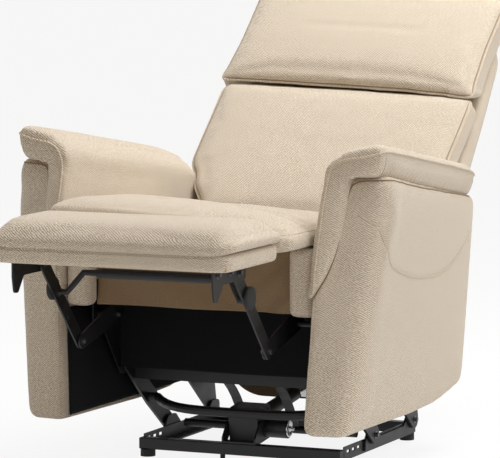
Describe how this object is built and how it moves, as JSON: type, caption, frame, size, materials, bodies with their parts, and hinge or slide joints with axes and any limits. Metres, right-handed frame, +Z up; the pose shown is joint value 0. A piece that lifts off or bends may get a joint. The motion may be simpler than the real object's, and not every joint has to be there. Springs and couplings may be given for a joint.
{
  "type": "power recliner",
  "caption": "Upholstered powered recliner on a parallel-link lift base, with a tilting back, a folding footrest on scissor links and screw actuators.",
  "frame": {"origin": "on the floor, under the middle of the chair's footprint in the pictured pose", "axes": "+Z up, the front of the chair faces -Y, +X is the right-hand arm as seen from the front"},
  "size_m": [0.8706, 1.6022, 1.0048],
  "materials": {
    "fabric": "woven beige twill upholstery",
    "lining": "thin tan lining cloth",
    "black_cloth": "black non-woven dust cloth",
    "black_steel": "satin black powder coat",
    "bright_steel": "bright ground rod",
    "black_plastic": "matt black moulded plastic",
    "black_rubber": "matt black rubber",
    "board": "bare pine and plywood"
  },
  "bodies": {
    "base": {"base_front_tube": "black_steel", "base_rear_tube": "black_steel", "base_rail_left": "black_steel", "base_rail_right": "black_steel", "foot_front_left": "black_rubber", "foot_front_right": "black_rubber", "foot_rear_left": "black_rubber", "foot_rear_right": "black_rubber", "centre_foot": "black_rubber", "pivot_plate_left": "black_steel", "pivot_plate_right": "black_steel", "actuator_bracket": "black_steel"},
    "lift_front": {"lift_arm_left": "black_steel", "lift_arm_right": "black_steel", "lift_torque_tube": "black_steel", "lift_cross_frame": "black_steel"},
    "lift_rear": {"rear_link_left": "black_steel", "rear_link_right": "black_steel", "rear_link_tube": "black_steel"},
    "actuator": {"lift_gearbox": "black_plastic", "lift_motor": "black_plastic", "lift_outer_tube": "black_plastic"},
    "actuator_rod": {"lift_rod": "bright_steel"},
    "seat": {"seat_rail_left": "board", "seat_rail_right": "board", "seat_front_rail": "board", "seat_rear_rail": "board", "seat_webbing": "black_cloth", "seat_cushion": "fabric", "front_stile_left": "fabric", "front_stile_right": "fabric", "front_flap": "lining", "dust_cover": "black_cloth", "rear_rail": "board", "rear_flap": "lining", "side_plate_left": "black_steel", "side_plate_right": "black_steel", "arm_left": "fabric", "arm_right": "fabric", "arm_pad_left": "fabric", "arm_pad_right": "fabric", "recline_actuator": "black_plastic", "switch_panel": "black_plastic"},
    "recline_rod": {"recline_rod": "bright_steel"},
    "back": {"back_frame": "board", "back_shell": "fabric", "back_cushion": "fabric", "headrest_pillow": "fabric"},
    "footrest_rear": {"footrest_rear_link_left": "black_steel", "footrest_rear_link_right": "black_steel", "footrest_drive_tube": "black_steel"},
    "footrest_front": {"footrest_front_link_left": "black_steel", "footrest_front_link_right": "black_steel", "footrest_cross_tube": "black_steel"},
    "ottoman": {"ottoman_board": "board", "ottoman_pad": "fabric", "ottoman_bracket_left": "black_steel", "ottoman_bracket_right": "black_steel"},
    "button_out": {"button_out": "black_rubber"},
    "button_in": {"button_in": "black_rubber"}
  },
  "joints": [
    {"name": "lift", "type": "hinge", "parent": "base", "child": "lift_front", "pos_m": [0, 0.02446, 0.052], "axis": [1, 0, 0], "range_deg": [-36, 17]},
    {"name": "lift_rear", "type": "hinge", "parent": "base", "child": "lift_rear", "pos_m": [0, 0.26446, 0.052], "axis": [1, 0, 0], "range_deg": [-37, 18]},
    {"name": "seat_level", "type": "hinge", "parent": "lift_front", "child": "seat", "pos_m": [0, -0.18254, 0.212], "axis": [1, 0, 0], "range_deg": [-18, 37]},
    {"name": "actuator_swing", "type": "hinge", "parent": "base", "child": "actuator", "pos_m": [0, -0.11254, 0.077], "axis": [1, 0, 0], "range_deg": [-6, 6]},
    {"name": "actuator_stroke", "type": "slide", "parent": "actuator", "child": "actuator_rod", "axis": [0, 0.9929, 0.119], "range_m": [-0.03, 0.06]},
    {"name": "recline", "type": "hinge", "parent": "seat", "child": "back", "pos_m": [0, 0.14746, 0.43], "axis": [1, 0, 0], "range_deg": [-5, 38]},
    {"name": "footrest", "type": "hinge", "parent": "seat", "child": "footrest_rear", "pos_m": [0, -0.31754, 0.335], "axis": [1, 0, 0], "range_deg": [0, 93.6]},
    {"name": "footrest_knee", "type": "hinge", "parent": "footrest_rear", "child": "footrest_front", "pos_m": [0, -0.48754, 0.297], "axis": [1, 0, 0], "range_deg": [-101, 1]},
    {"name": "ottoman_tilt", "type": "hinge", "parent": "footrest_front", "child": "ottoman", "pos_m": [0, -0.65254, 0.478], "axis": [1, 0, 0], "range_deg": [-1, 98]},
    {"name": "recline_stroke", "type": "slide", "parent": "seat", "child": "recline_rod", "axis": [0, -1, 0], "range_m": [-0.002, 0.08]},
    {"name": "button_out_press", "type": "slide", "parent": "seat", "child": "button_out", "axis": [0.9987, 0.012, -0.0499], "range_m": [0, 0.0022], "stiffness_N_per_m": 400},
    {"name": "button_in_press", "type": "slide", "parent": "seat", "child": "button_in", "axis": [0.9987, 0.012, -0.0499], "range_m": [0, 0.0022], "stiffness_N_per_m": 400}
  ],
  "couplings": [
    {"joint": "lift_rear", "follows": "lift", "ratio": 1},
    {"joint": "seat_level", "follows": "lift", "ratio": -1},
    {"joint": "actuator_swing", "follows": "lift", "ratio": 0.02991},
    {"joint": "actuator_stroke", "follows": "lift", "m_per_rad": -0.06761},
    {"joint": "footrest_knee", "follows": "footrest", "ratio": -1.063},
    {"joint": "ottoman_tilt", "follows": "footrest", "ratio": 1.0246},
    {"joint": "recline_stroke", "follows": "footrest", "m_per_rad": 0.0464}
  ]
}
